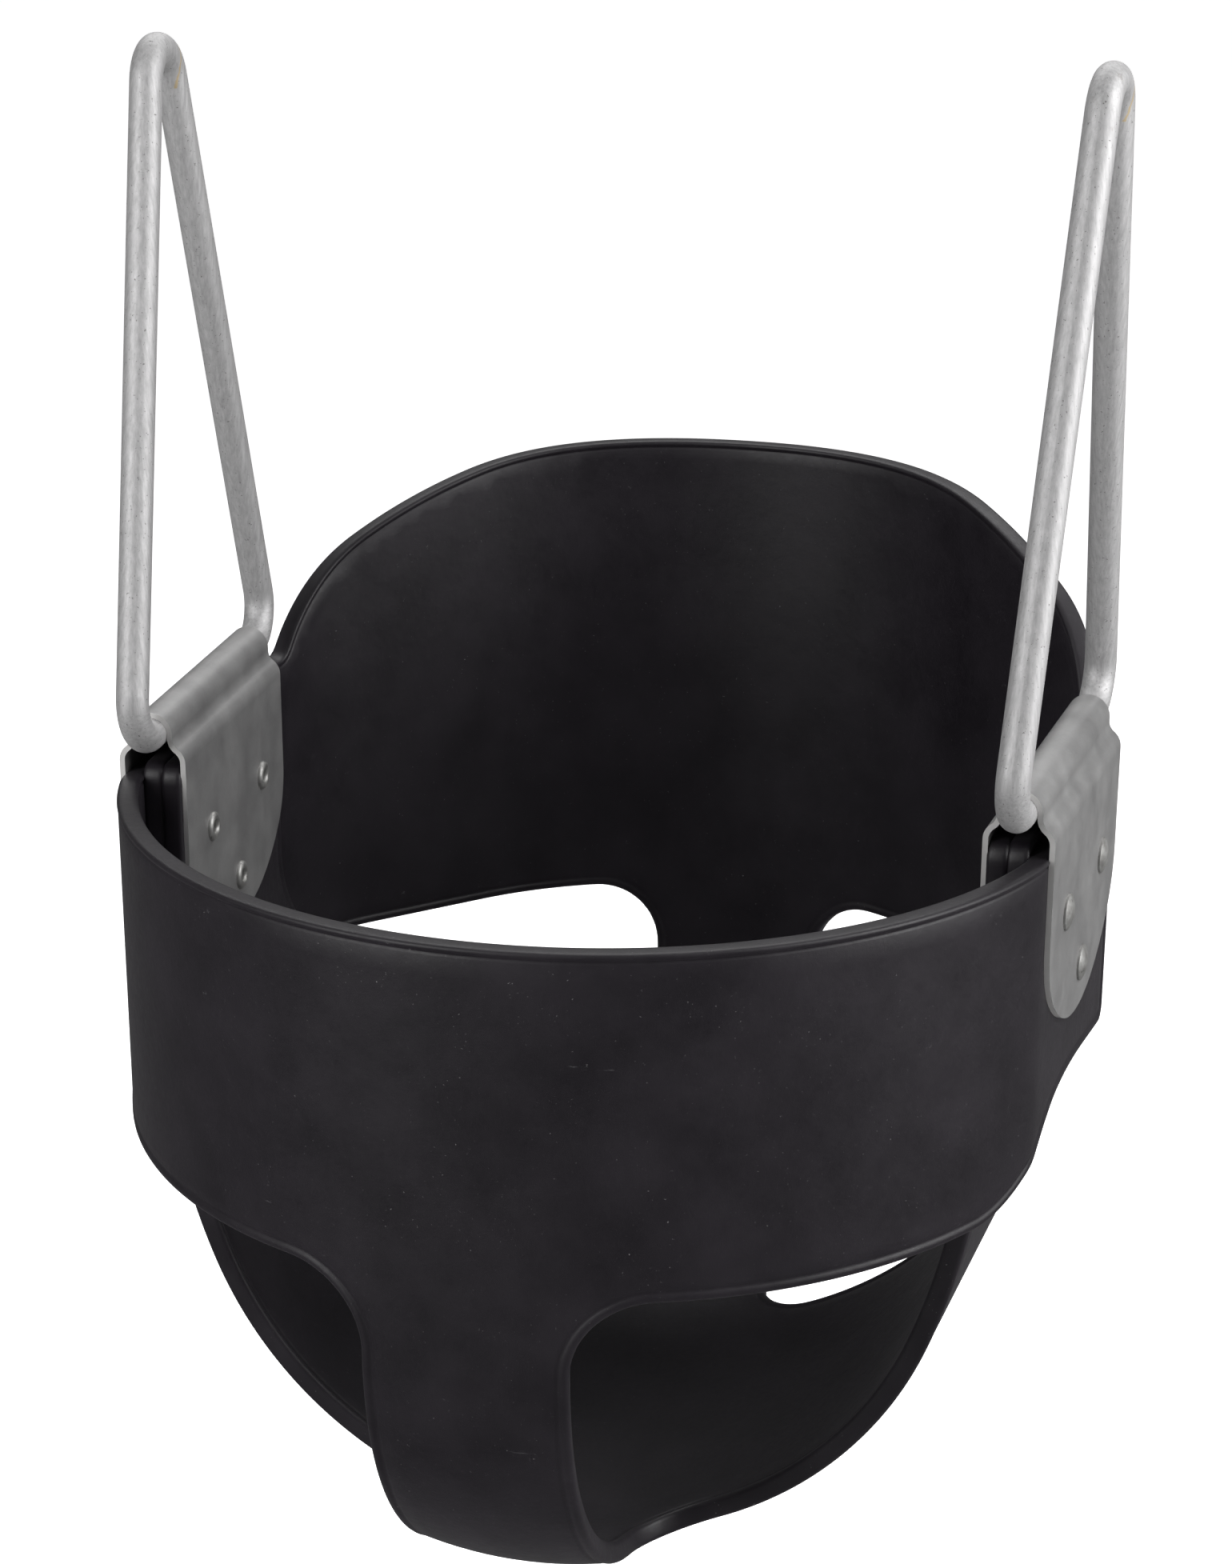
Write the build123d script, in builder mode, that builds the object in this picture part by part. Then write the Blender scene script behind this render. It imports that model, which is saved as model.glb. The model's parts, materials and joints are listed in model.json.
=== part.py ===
from build123d import *
import math
import os

# A full-bucket toddler swing seat. Millimetres, +X to the right seen from the front (the
# sitter's left), +Y to the rear, +Z up. The origin is midway between the two hanging eyes,
# where the chains take hold.

# ---- driving dimensions ------------------------------------------------------------------
PIVOT_HALF = 165.0      # hanger bar axis to the centre plane
TOE = 3.8               # degrees: the rear ends of the brackets stand wider apart
BAR = 12.0              # diameter of the hanger bar
HANGER_BASE = 161.0     # hanger triangle, between the sharp corners of its centre line
HANGER_RISE = 276.5     # hanger triangle, from its base to its sharp top corner
BEND = 15.0             # centre line radius of the two lower bends
TOP_BEND = 13.8         # and of the top bend, where the chain hangs
LEAN = 1.7              # degrees: the hangers lean outwards, as the chains pull them

RUBBER = 7.2            # thickness of the moulding
SHEET = 2.0             # bracket sheet
RUNNING = 0.06          # radial clearance of the bar in the bracket's loop

RIM_FRONT = -16.0       # heights are given from the hanger bar axis
LAYER_TOP = -12.0
RIM_REAR = 61.0
RIM_CROWN = 152.5       # side view radius of the back rim's rise
BAND_LOW = -141.0       # lower edge of the front band and of the back wall
SEAT_LOW = -299.5       # underside of the seat pan
FRONT = -193.0          # front of the band, from the plane of the hanger bars
REAR = 215.0            # rear of the back wall
FRONT_BEND = 178.5      # plan radius of the band's front, outside
REAR_BEND = 151.0       # and of the back wall's rear
REAR_FLANK = 46.6       # degrees from the rear bend's middle to its straight flank
BAND_TURN = -95.0       # the band's lower edge starts to rise here,
BAND_MIDDLE = (-23.0, -118.5)   # passes here inside the bracket
BAND_TIP = -123.5       # and reaches this height at the band's rear end
WALL_TURN = 84.0        # the back wall's lower edge rises forwards from here
WALL_TIP = (-118.0, -95.0)      # towards this place
STRAP = 73.0            # width of the crotch strap and of the rear spine
STRAP_CORNER = 28.5     # corners where the straps run into the bands
PAN_FRONT = -75.5       # front lip of the pan
PAN_REAR = 92.0         # rear lip of the pan
PAN_SIDE = 254.5        # radius of the pan's flanks
PAN_SIDE_TOP = -107.5   # the flanks are upright above this height
PAN_LIP_TOP = -150.0    # the lips sweep in towards the brackets above this height
PAN_NECK = -88.0        # and are upright again above this one
KEEL = 129.5            # radius in which the straps bend under the seat

BRACKET = 118.0         # length of a bracket along the bar
LEAF_SIDE = -50.0       # the leaf's edges are straight down to here
LEAF_LOW = -93.0
LEAF_CORNER = 32.0
FLARE = 6.0             # radius of the bracket's shoulder bends
NECK = 1.5              # straight sides of the loop below the bar axis
RIVETS = {"front": (-31.0, -45.0), "rear": (31.0, -45.0), "lower": (0.0, -76.0)}
SHANK = 3.0             # rivet radii and heights
HEAD = 6.7
HEAD_RISE = 2.6
HEAD_EDGE = 0.8         # height of the head's rim
DOME = (0.55, 0.8)      # the dome passes here: share of its radius, and of its rise
CLINCH = 5.7
CLINCH_RISE = 1.7
CLINCH_BORE = 2.3
CLINCH_BORE_DEPTH = 7.0
RIVET_ROOM = 0.1        # radial clearance round a shank

INSERT = 1.2            # spring steel strips inside the rubber
INSERT_TOP = -33.0
INSERT_LOW = -89.0
PAN_INSERT = 84.0       # width of the strip under the pan
INSERT_ROOM = 1.0       # radial clearance round a shank in a strip
INSERT_MARGIN = 7.0     # rubber past the end of a strip

# ---- values that follow ------------------------------------------------------------------
STACK = 3 * RUBBER
LAYER = {"outer": RUBBER, "middle": 0.0, "inner": -RUBBER}
HALF_ANGLE = math.degrees(math.atan2(HANGER_BASE / 2, HANGER_RISE))
TOP_DROP = TOP_BEND / math.sin(math.radians(HALF_ANGLE)) - TOP_BEND
EYE_RISE = HANGER_RISE - TOP_DROP - BAR / 2
PIVOT_Z = -EYE_RISE * math.cos(math.radians(LEAN))
BAR_DIR = Vector(math.sin(math.radians(TOE)), math.cos(math.radians(TOE)), 0)
OUT_DIR = Vector(BAR_DIR.Y, -BAR_DIR.X, 0)
HALF_STRAP = STRAP / 2
KEEL_TOP = SEAT_LOW + KEEL          # the straps bend under below this height
STRAP_REACH = BAND_LOW - KEEL_TOP
BAND_END = BRACKET / 2 + 3
FAR = 400.0             # well past the part, for cutting volumes

FRONT_VIEW = Plane(origin=(0, 0, PIVOT_Z), x_dir=(1, 0, 0), z_dir=(0, -1, 0))
SIDE_VIEW = Plane(origin=(0, 0, PIVOT_Z), x_dir=(0, 1, 0), z_dir=(1, 0, 0))


def level(z):
    """Horizontal plane at a height above the hanger bar axis."""
    return Plane(origin=(0, 0, PIVOT_Z + z), x_dir=(1, 0, 0), z_dir=(0, 0, 1))


def joining_radius(point, normal, centre, radius):
    """Radius of the arc that leaves point along the normal's tangent and meets a larger circle."""
    reach = point - centre
    return (radius**2 - reach.dot(reach)) / (2 * (radius + reach.dot(normal)))


def beside(along, out):
    """Point in plan on the right-hand side, along the bar and outwards from its axis."""
    return Vector(PIVOT_HALF, 0) + BAR_DIR * along + OUT_DIR * out


def side_planes(side):
    """Planes on one bar axis: across the bar, and in the hanger's plane facing outwards."""
    out = Vector(side * OUT_DIR.X, OUT_DIR.Y, 0)
    along = Vector(side * BAR_DIR.X, BAR_DIR.Y, 0)
    origin = Vector(side * PIVOT_HALF, 0, PIVOT_Z)
    across = Plane(origin=origin, x_dir=out, z_dir=along * -side)
    facing = Plane(origin=origin, x_dir=along * side, z_dir=out)
    return across, facing, along, out


def front_path(end):
    """Half of the front band's line in plan: straight in the bracket, then two arcs."""
    out = LAYER["outer"]
    start = beside(-BRACKET / 2, out)
    radius = FRONT_BEND - RUBBER / 2
    centre = Vector(0, FRONT + FRONT_BEND)
    flank = joining_radius(start, OUT_DIR * -1, centre, radius)
    joint = start - OUT_DIR * flank - centre
    turn = math.degrees(math.atan2(joint.X, -joint.Y))
    straight = Line(beside(end, out), start)
    side = JernArc(start, straight % 1, flank, turn + TOE - 90)
    JernArc(side @ 1, side % 1, radius, -turn)


def rear_path(end):
    """Half of the back wall's line in plan: straight in the bracket, a corner, a straight
    flank and the rear bend."""
    turn = math.radians(REAR_FLANK)
    radius = REAR_BEND - RUBBER / 2
    joint = Vector(math.sin(turn), math.cos(turn)) * radius + Vector(0, REAR - REAR_BEND)
    flank = Vector(-math.cos(turn), math.sin(turn))
    gap = joint - beside(0, 0)
    meeting = gap.cross(flank).Z / BAR_DIR.cross(flank).Z
    rest = 90 + TOE - REAR_FLANK
    corner = (meeting - BRACKET / 2) / math.tan(math.radians(rest / 2))
    straight = Line(beside(end, 0), beside(BRACKET / 2, 0))
    bend = JernArc(straight @ 1, straight % 1, corner, rest)
    side = Line(bend @ 1, joint)
    JernArc(side @ 1, side % 1, radius, REAR_FLANK)


def pan_outline(inset):
    """Half of the pan's section across the seat, closed up the centre plane."""
    wall = -RUBBER / 2 - inset
    flank = PAN_SIDE - inset
    low = Vector(-PIVOT_HALF, SEAT_LOW + inset)
    centre = Vector(wall - flank, PAN_SIDE_TOP)
    small = joining_radius(low, Vector(0, 1), centre, flank)
    joint = low + Vector(0, small) - centre
    turn = 90 + math.degrees(math.atan2(joint.Y, joint.X))
    upright = Line((wall, LAYER_TOP), (wall, PAN_SIDE_TOP))
    side = JernArc(start=upright @ 1, tangent=(0, -1), radius=flank, arc_size=turn - 90)
    keel = JernArc(start=side @ 1, tangent=side % 1, radius=small, arc_size=-turn)
    past_middle = -PIVOT_HALF - 2 * RUBBER
    over = Line(keel @ 1, (past_middle, low.Y))
    up = Line(over @ 1, (past_middle, LAYER_TOP))
    Line(up @ 1, upright @ 0)


def keel_outline(inset):
    """Section of the straps and the pan along the seat, closed at the top."""
    radius = KEEL - inset
    down = Line((FRONT + inset, LAYER_TOP), (FRONT + inset, KEEL_TOP))
    front = JernArc(start=down @ 1, tangent=(0, -1), radius=radius, arc_size=90)
    flat = Line(front @ 1, (REAR - KEEL, SEAT_LOW + inset))
    rear = JernArc(start=flat @ 1, tangent=(1, 0), radius=radius, arc_size=90)
    up = Line(rear @ 1, (REAR - inset, LAYER_TOP))
    Line(up @ 1, down @ 0)


def bucket(inset):
    """The space inside the bucket's outer skin, or inside the skin moved in by inset."""
    with BuildPart() as space:
        with BuildSketch(side_planes(1)[0]):
            with BuildLine():
                pan_outline(inset)
            make_face()
        extrude(amount=FAR, both=True)
        split(bisect_by=Plane.YZ, keep=Keep.TOP)
        mirror(about=Plane.YZ)
        with BuildSketch(SIDE_VIEW):
            with BuildLine():
                keel_outline(inset)
            make_face()
        extrude(amount=FAR, both=True, mode=Mode.INTERSECT)
        with BuildSketch(level(LAYER_TOP)):
            with Locations((0, FRONT + FRONT_BEND)):
                Circle(FRONT_BEND - inset)
            with Locations((0, REAR - REAR_BEND)):
                Circle(REAR_BEND - inset)
            with Locations((0, (PAN_FRONT + PAN_REAR) / 2)):
                Rectangle(FAR, PAN_REAR - PAN_FRONT)
        extrude(amount=-FAR, mode=Mode.INTERSECT)
    return space.part


def strap_outline(top):
    """Front view of a band as wide as the seat with a strap below its middle."""
    with BuildSketch(FRONT_VIEW) as outline:
        with Locations((0, top)):
            Rectangle(FAR, top - BAND_LOW, align=(Align.CENTER, Align.MAX))
        with Locations((0, BAND_LOW)):
            Rectangle(STRAP, STRAP_REACH, align=(Align.CENTER, Align.MAX))
        corners = outline.vertices().filter_by(lambda v: abs(abs(v.X) - HALF_STRAP) < 1)
        fillet(corners.group_by(Axis.Y)[-1], STRAP_CORNER)
    return outline.sketch


def rivet_bores(radius):
    """Round bars along the axes of the three rivets on each side."""
    with BuildPart() as bars:
        for side in (1, -1):
            with BuildSketch(side_planes(side)[1]):
                with Locations(*RIVETS.values()):
                    Circle(radius)
            extrude(amount=STACK, both=True)
    return bars.part


def bracket(side):
    """Sheet folded over the hanger bar, with two leaves that clamp the rubber."""
    across, facing, _, _ = side_planes(side)
    loop = BAR / 2 + RUNNING + SHEET / 2
    leaf = STACK / 2 + SHEET / 2
    swing = math.degrees(math.acos(1 - (leaf - loop) / (2 * FLARE)))
    corner = Vector(BRACKET / 2 - LEAF_CORNER, LEAF_SIDE)
    low = Vector(0, LEAF_LOW)
    sole = joining_radius(low, Vector(0, 1), corner, LEAF_CORNER)
    joint = corner - low - Vector(0, sole)
    turn = -math.degrees(math.atan2(joint.Y, joint.X))
    with BuildPart() as folded:
        with BuildSketch(across):
            with BuildLine():
                CenterArc((0, 0), loop, 0, 90)
                neck = Line((loop, 0), (loop, -NECK))
                inward = JernArc(neck @ 1, (0, -1), FLARE, swing)
                outward = JernArc(inward @ 1, inward % 1, FLARE, -swing)
                Line(outward @ 1, (leaf, LEAF_LOW))
                mirror(about=Plane.YZ)
            trace(line_width=SHEET)
        extrude(amount=BRACKET / 2, both=True)
        with BuildSketch(facing):
            with BuildLine():
                top = Line((0, BAR), (BRACKET / 2, BAR))
                edge = Line(top @ 1, (BRACKET / 2, LEAF_SIDE))
                round_off = JernArc(edge @ 1, (0, -1), LEAF_CORNER, -turn)
                JernArc(round_off @ 1, round_off % 1, sole, turn - 90)
                mirror(about=Plane.YZ)
            make_face()
        extrude(amount=STACK, both=True, mode=Mode.INTERSECT)
        add(rivet_bores(SHANK + RIVET_ROOM), mode=Mode.SUBTRACT)
    return folded.part


def hanger(side):
    """Round bar bent into a tall triangle and welded shut, leaning outwards."""
    _, facing, along, out = side_planes(side)
    lean = math.radians(LEAN)
    face = Plane(origin=facing.origin, x_dir=facing.x_dir,
                 z_dir=out * math.cos(lean) - Vector(0, 0, math.sin(lean)))
    half = HANGER_BASE / 2
    with BuildPart() as bent:
        with BuildLine(face) as line:
            FilletPolyline((half, 0), (0, HANGER_RISE), (-half, 0),
                           radius=[BEND, TOP_BEND, BEND], close=True)
        start = line.wires()[0]
        with BuildSketch(Plane(origin=start @ 0, z_dir=start % 0)):
            Circle(BAR / 2)
        sweep(path=start)
    return bent.part


def rivet(side, along, up):
    """Semi-tubular rivet: domed head outside, hollow rolled clinch inside."""
    across, facing, _, out = side_planes(side)
    origin = facing.from_local_coords(Vector(side * along, up, 0))
    face = STACK / 2 + SHEET
    bore_end = -face + CLINCH_BORE_DEPTH
    with BuildPart() as turned:
        with BuildSketch(Plane(origin=origin, x_dir=out, z_dir=across.z_dir)):
            with BuildLine():
                dome = ThreePointArc((face + HEAD_RISE, 0),
                                     (face + HEAD_RISE * DOME[1], HEAD * DOME[0]),
                                     (face + HEAD_EDGE, HEAD))
                roll = ThreePointArc((-face, CLINCH),
                                     (-face - CLINCH_RISE, (CLINCH + CLINCH_BORE) / 2),
                                     (-face, CLINCH_BORE))
                Polyline(dome @ 1, (face, HEAD), (face, SHANK), (-face, SHANK), roll @ 0)
                Polyline(roll @ 1, (bore_end, CLINCH_BORE), (bore_end + 1, 0), dome @ 0)
            make_face()
        revolve(axis=Axis(origin, out))
    return turned.part


def write(piece, name):
    piece.label = name
    export_step(piece, f"parts/{name}.step")
    print(name, len(piece.solids()), "solid", round(piece.volume / 1000, 1), "cm3", piece.is_valid)


os.makedirs("parts", exist_ok=True)

# ---- rubber moulding ---------------------------------------------------------------------
# One flat moulding folded into a bucket: front band, crotch strap, pan with two side wings,
# rear spine and back wall. Its free ends lie in three layers in each bracket.
with BuildPart() as front_band:
    with BuildSketch(level(RIM_FRONT)):
        with BuildLine():
            front_path(BAND_END)
        trace(line_width=RUBBER)
        mirror(about=Plane.YZ)
    extrude(amount=-FAR)
    extrude(strap_outline(RIM_FRONT), amount=FAR, both=True, mode=Mode.INTERSECT)
    with BuildSketch(SIDE_VIEW):
        with BuildLine():
            lower = Spline((BAND_TURN, BAND_LOW - 1), BAND_MIDDLE, (BAND_END + 2, BAND_TIP),
                           tangents=((1, 0.06), (1, -0.09)))
            Polyline(lower @ 1, (BAND_END + 2, BAND_LOW - 1), lower @ 0)
        make_face()
    extrude(amount=FAR, both=True, mode=Mode.SUBTRACT)

# Behind the bracket's layers the back rim rises in one long arc.
rise_start = REAR - math.sqrt(RIM_CROWN**2 - (LAYER_TOP - RIM_REAR + RIM_CROWN) ** 2)

with BuildPart() as back_wall:
    with BuildSketch(level(RIM_REAR)):
        with BuildLine():
            rear_path(-BRACKET / 2 - 1)
        trace(line_width=RUBBER)
        mirror(about=Plane.YZ)
    extrude(amount=-FAR)
    extrude(strap_outline(RIM_REAR), amount=FAR, both=True, mode=Mode.INTERSECT)
    with BuildSketch(SIDE_VIEW):
        with BuildLine():
            layers = Line((-FAR, LAYER_TOP), (rise_start, LAYER_TOP))
            crown = RadiusArc(layers @ 1, (REAR, RIM_REAR), RIM_CROWN)
            Polyline(crown @ 1, (REAR, FAR), (-FAR, FAR), layers @ 0)
        make_face()
    extrude(amount=FAR, both=True, mode=Mode.SUBTRACT)
    with BuildSketch(SIDE_VIEW):
        with BuildLine():
            Polyline(WALL_TIP, (WALL_TURN, BAND_LOW), (WALL_TIP[0], BAND_LOW), close=True)
        make_face()
    extrude(amount=FAR, both=True, mode=Mode.SUBTRACT)

outer_space = bucket(0)
inner_space = bucket(RUBBER)

with BuildPart() as pan:
    add(outer_space)
    add(inner_space, mode=Mode.SUBTRACT)
    with BuildSketch(level(LAYER_TOP)) as plan:
        Rectangle(STRAP, 2 * FAR)
        with Locations((0, (PAN_FRONT + PAN_REAR) / 2)):
            Rectangle(2 * FAR, PAN_REAR - PAN_FRONT)
        corners = plan.vertices().filter_by(lambda v: abs(v.X) < STRAP and abs(v.Y) < BRACKET)
        fillet(corners, STRAP_CORNER)
    extrude(amount=-FAR, mode=Mode.INTERSECT)
    with BuildSketch(SIDE_VIEW) as notches:
        for lip, end in ((PAN_FRONT, -1), (PAN_REAR, 1)):
            with BuildLine():
                neck = end * (BRACKET / 2 + 1)
                shoulder = Spline((neck, PAN_NECK), (lip, PAN_LIP_TOP), tangents=((0, -1), (0, -1)))
                Polyline(shoulder @ 1, (lip, KEEL_TOP), (end * FAR, KEEL_TOP), (end * FAR, 0),
                         (neck, 0), shoulder @ 0)
            make_face()
    extrude(amount=FAR, both=True, mode=Mode.SUBTRACT)

# ---- spring steel inserts ----------------------------------------------------------------
# Flat strips buried in the rubber. They carry the load from one bracket to the other.
strip_bores = rivet_bores(SHANK + INSERT_ROOM)

with BuildPart() as front_insert:
    with BuildSketch(level(INSERT_TOP)):
        with BuildLine():
            front_path(BAND_END - INSERT_MARGIN)
        trace(line_width=INSERT)
        mirror(about=Plane.YZ)
    extrude(amount=INSERT_LOW - INSERT_TOP)
    add(strip_bores, mode=Mode.SUBTRACT)

with BuildPart() as back_insert:
    with BuildSketch(level(INSERT_TOP)):
        with BuildLine():
            rear_path(-BRACKET / 2 + INSERT_MARGIN)
        trace(line_width=INSERT)
        mirror(about=Plane.YZ)
    extrude(amount=INSERT_LOW - INSERT_TOP)
    add(strip_bores, mode=Mode.SUBTRACT)

with BuildPart() as pan_insert:
    for skin, mode in ((-INSERT / 2, Mode.ADD), (INSERT / 2, Mode.SUBTRACT)):
        with BuildSketch(side_planes(1)[0]):
            with BuildLine():
                pan_outline(RUBBER / 2 + skin)
            make_face()
        extrude(amount=PAN_INSERT / 2, both=True, mode=mode)
    split(bisect_by=Plane.YZ, keep=Keep.TOP)
    split(bisect_by=level(INSERT_TOP), keep=Keep.BOTTOM)
    mirror(about=Plane.YZ)
    add(strip_bores, mode=Mode.SUBTRACT)

with BuildPart() as seat_shell:
    add(front_band.part)
    add(back_wall.part)
    add(pan.part)
    for insert in (front_insert, back_insert, pan_insert):
        add(insert.part, mode=Mode.SUBTRACT)
    add(rivet_bores(SHANK + RIVET_ROOM), mode=Mode.SUBTRACT)

write(seat_shell.part, "seat_shell")
write(front_insert.part, "front_insert")
write(back_insert.part, "back_insert")
write(pan_insert.part, "pan_insert")

# ---- metal parts, once for each side -----------------------------------------------------
for name, side in (("right", 1), ("left", -1)):
    write(bracket(side), f"{name}_bracket")
    write(hanger(side), f"{name}_hanger")
    for place, (along, up) in RIVETS.items():
        write(rivet(side, along, up), f"{name}_rivet_{place}")
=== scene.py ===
import json
import math

import bmesh
import bpy
import numpy as np
from mathutils import Matrix, Vector, geometry


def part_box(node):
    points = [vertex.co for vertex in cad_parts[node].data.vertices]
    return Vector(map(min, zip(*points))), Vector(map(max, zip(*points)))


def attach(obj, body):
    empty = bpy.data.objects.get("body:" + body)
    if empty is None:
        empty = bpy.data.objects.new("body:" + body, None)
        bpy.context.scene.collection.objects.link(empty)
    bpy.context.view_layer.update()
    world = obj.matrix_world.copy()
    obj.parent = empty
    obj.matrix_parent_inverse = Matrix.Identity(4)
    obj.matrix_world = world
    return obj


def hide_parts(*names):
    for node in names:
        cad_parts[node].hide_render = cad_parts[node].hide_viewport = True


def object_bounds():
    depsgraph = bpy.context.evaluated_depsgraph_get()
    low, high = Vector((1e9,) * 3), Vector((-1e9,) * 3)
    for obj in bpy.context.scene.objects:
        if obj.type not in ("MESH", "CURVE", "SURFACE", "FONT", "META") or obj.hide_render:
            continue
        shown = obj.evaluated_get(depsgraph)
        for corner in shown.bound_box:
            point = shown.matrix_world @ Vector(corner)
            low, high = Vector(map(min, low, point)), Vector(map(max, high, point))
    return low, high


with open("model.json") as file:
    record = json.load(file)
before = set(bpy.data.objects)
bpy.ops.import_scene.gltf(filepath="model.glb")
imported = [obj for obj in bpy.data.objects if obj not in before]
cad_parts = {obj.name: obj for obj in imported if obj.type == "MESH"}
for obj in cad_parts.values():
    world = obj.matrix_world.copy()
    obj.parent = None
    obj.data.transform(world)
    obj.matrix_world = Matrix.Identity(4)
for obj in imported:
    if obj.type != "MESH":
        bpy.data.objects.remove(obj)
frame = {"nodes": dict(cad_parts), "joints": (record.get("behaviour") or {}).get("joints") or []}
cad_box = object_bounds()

# A full-bucket toddler swing seat: one folded rubber moulding between two folded steel
# brackets, with a triangular hanger on each side. Metres, in the frame of the CAD model.

# ---- places that the frame gives -----------------------------------------------------------
shell_low, shell_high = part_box("seat_shell")
hinge = next(j for j in frame["joints"] if j["name"] == "right_hanger_hinge")
PIVOT = Vector(hinge["pos_m"])
TOE = math.atan2(hinge["axis"][0], hinge["axis"][1])
FRONT = shell_low.y
REAR = shell_high.y
LOW = shell_low.z

# ---- sizes of the moulding; heights are from the hanger bar's axis ------------------------------
SKIN = 0.0072            # thickness of the rubber
RIM_FRONT = -0.0160
LAYER_TOP = -0.0120
RIM_REAR = 0.0610
RIM_CROWN = 0.1525       # side view radius of the back rim's long rise
BAND_LOW = -0.1410       # lower edges of the front band and the back wall
BAND_TIP = -0.1235       # lower edge of the front band at its rear end
BAND_MID = -0.1185       # and inside the bracket's front half
BAND_MID_Y = -0.0230
BAND_TURN_Y = -0.0950
WALL_TIP = -0.0950       # lower edge of the back wall, as it would reach this far forward
WALL_TIP_Y = -0.1180
WALL_TURN_Y = 0.0840
WALL_TURN_BEND = 0.06    # rounding of that edge where it begins to rise
FRONT_BEND = 0.1785      # plan radius of the band's front, outside
REAR_BEND = 0.1510       # and of the back wall's rear
REAR_FLANK_DEG = 46.6    # angle that the rear bend turns before its straight flank
HALF_STRAP = 0.0365
STRAP_CORNER = 0.0285
END_CORNER = 0.0065      # rounding of the moulding's free corners
RIM_FOOT = 0.0080        # and of the foot of the back rim's rise
PAN_FRONT = -0.0755
PAN_REAR = 0.0920
PAN_SIDE = 0.2545
PAN_SIDE_TOP = -0.1075
PAN_LIP_TOP = -0.1500    # the lips sweep in towards the bracket above this height
PAN_NECK = -0.0880
KEEL = 0.1295            # radius in which the straps bend under the seat
HALF_BRACKET = 0.0590
BAND_END = HALF_BRACKET + 0.0030
TIP_SLOPE = 0.09         # slopes of the front band's lower edge: at its rear end,
MID_SLOPE = 0.10         # inside the bracket,
TURN_SLOPE = 0.06        # and where it becomes level
TIP_RUN = 3              # the tip's own slope lasts this many of its corners
SPREAD_FROM = 0.5        # this many half straps out, the pan begins to lean less with the keel
SPREAD_OVER = 1.5        # and that takes this many half straps
TOE_RISE = 1.6           # a wing has the bar's whole toe at 1 / this of its length
LAYER_END = HALF_BRACKET + 0.0010

# ---- fineness of the moulding's mesh -----------------------------------------------------------
EDGE_STEP = 0.0024       # along the edges
GRID_STEP = 0.0050       # over the faces
GRID_GAP = 0.55          # least distance between grid and edges, in grid steps
GRID_BLOCKS = 40         # the grid is sorted in this many pieces, to save memory
MERGE = 1e-7             # flat points nearer than this would be one
ARC_POINTS = 13          # on each rounded corner
CURVE_POINTS = 24        # on each free curve
LINE_POINTS = 4000       # for looking up a length on a line
FOOT_PLACES = 9          # on the steep foot of the back rim,
FOOT_STEP = 0.0015       # this far apart in side view
FOOT_JOIN = 4            # the foot's rounding ends at this one of them
FOOT_END = 0.014         # the rest of the rim starts this far behind the foot
RIM_PLACES = 60
# The edge's section: distance in from the edge, and half the thickness there.
BEAD = (
    (0.0, 0.0020), (0.00015, 0.0028), (0.0006, 0.00345), (0.0012, 0.00378), (0.0020, 0.0039),
    (0.0027, 0.00378), (0.0033, 0.00345), (0.0038, 0.0032), (0.0044, 0.0032), (0.0050, 0.0034),
    (0.0057, 0.0036),
)
RIM_BEAD = 0.68          # share of the section's width that is left along the two rims
RIM_BEAD_FROM = -0.080   # the section begins to narrow at this height
RIM_BEAD_FULL = -0.050   # and has narrowed to that share at this one

MID = SKIN / 2
BAR_DIR = np.array((math.sin(TOE), math.cos(TOE)))
OUT_DIR = np.array((math.cos(TOE), -math.sin(TOE)))


def smooth(x):
    """0 below 0, 1 above 1, and an even curve between."""
    x = np.clip(x, 0, 1)
    return x * x * (3 - 2 * x)


def mix(a, b, share):
    return a + (b - a) * share


def joining_radius(point, normal, centre, radius):
    """Radius of the arc that leaves point along the normal's tangent and meets a larger circle."""
    reach = np.array(point) - np.array(centre)
    return (radius**2 - reach @ reach) / (2 * (radius + reach @ np.array(normal)))


class Line2D:
    """A line in a plane made of arcs and straight runs, each a length and a turn in radians."""

    def __init__(self, start, heading, runs):
        self.start, self.heading, self.runs = np.array(start, float), heading, runs
        self.length = sum(run[0] for run in runs)

    def at(self, s):
        """Points and headings at the lengths s along the line."""
        s = np.asarray(s, float)
        x = np.full(s.shape, self.start[0])
        y = np.full(s.shape, self.start[1])
        heading = np.full(s.shape, self.heading)
        passed = 0.0
        for number, (length, turn) in enumerate(self.runs):
            last = number == len(self.runs) - 1
            part = np.clip(s - passed, 0, None if last else length)
            bend = turn / length
            after = heading + bend * part
            if abs(bend) > 1e-9:
                x = x + (np.sin(after) - np.sin(heading)) / bend
                y = y - (np.cos(after) - np.cos(heading)) / bend
            else:
                x = x + part * np.cos(heading)
                y = y + part * np.sin(heading)
            heading = after
            passed += length
        return x, y, heading


def beside(along, out):
    """Point in plan on the right-hand side, along the bar and outwards from its axis."""
    return np.array((PIVOT.x, 0)) + BAR_DIR * along + OUT_DIR * out


def front_plan():
    """Plan line of the front band, from the middle of its front to its end in the bracket."""
    start = beside(-HALF_BRACKET, SKIN)
    radius = FRONT_BEND - MID
    centre = np.array((0, FRONT + FRONT_BEND))
    flank = joining_radius(start, -OUT_DIR, centre, radius)
    joint = start - OUT_DIR * flank - centre
    turn = math.atan2(joint[0], -joint[1])
    rest = math.pi / 2 - TOE - turn
    runs = ((radius * turn, turn), (flank * rest, rest), (HALF_BRACKET + BAND_END, 0))
    return Line2D((0, FRONT + MID), 0, runs)


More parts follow.
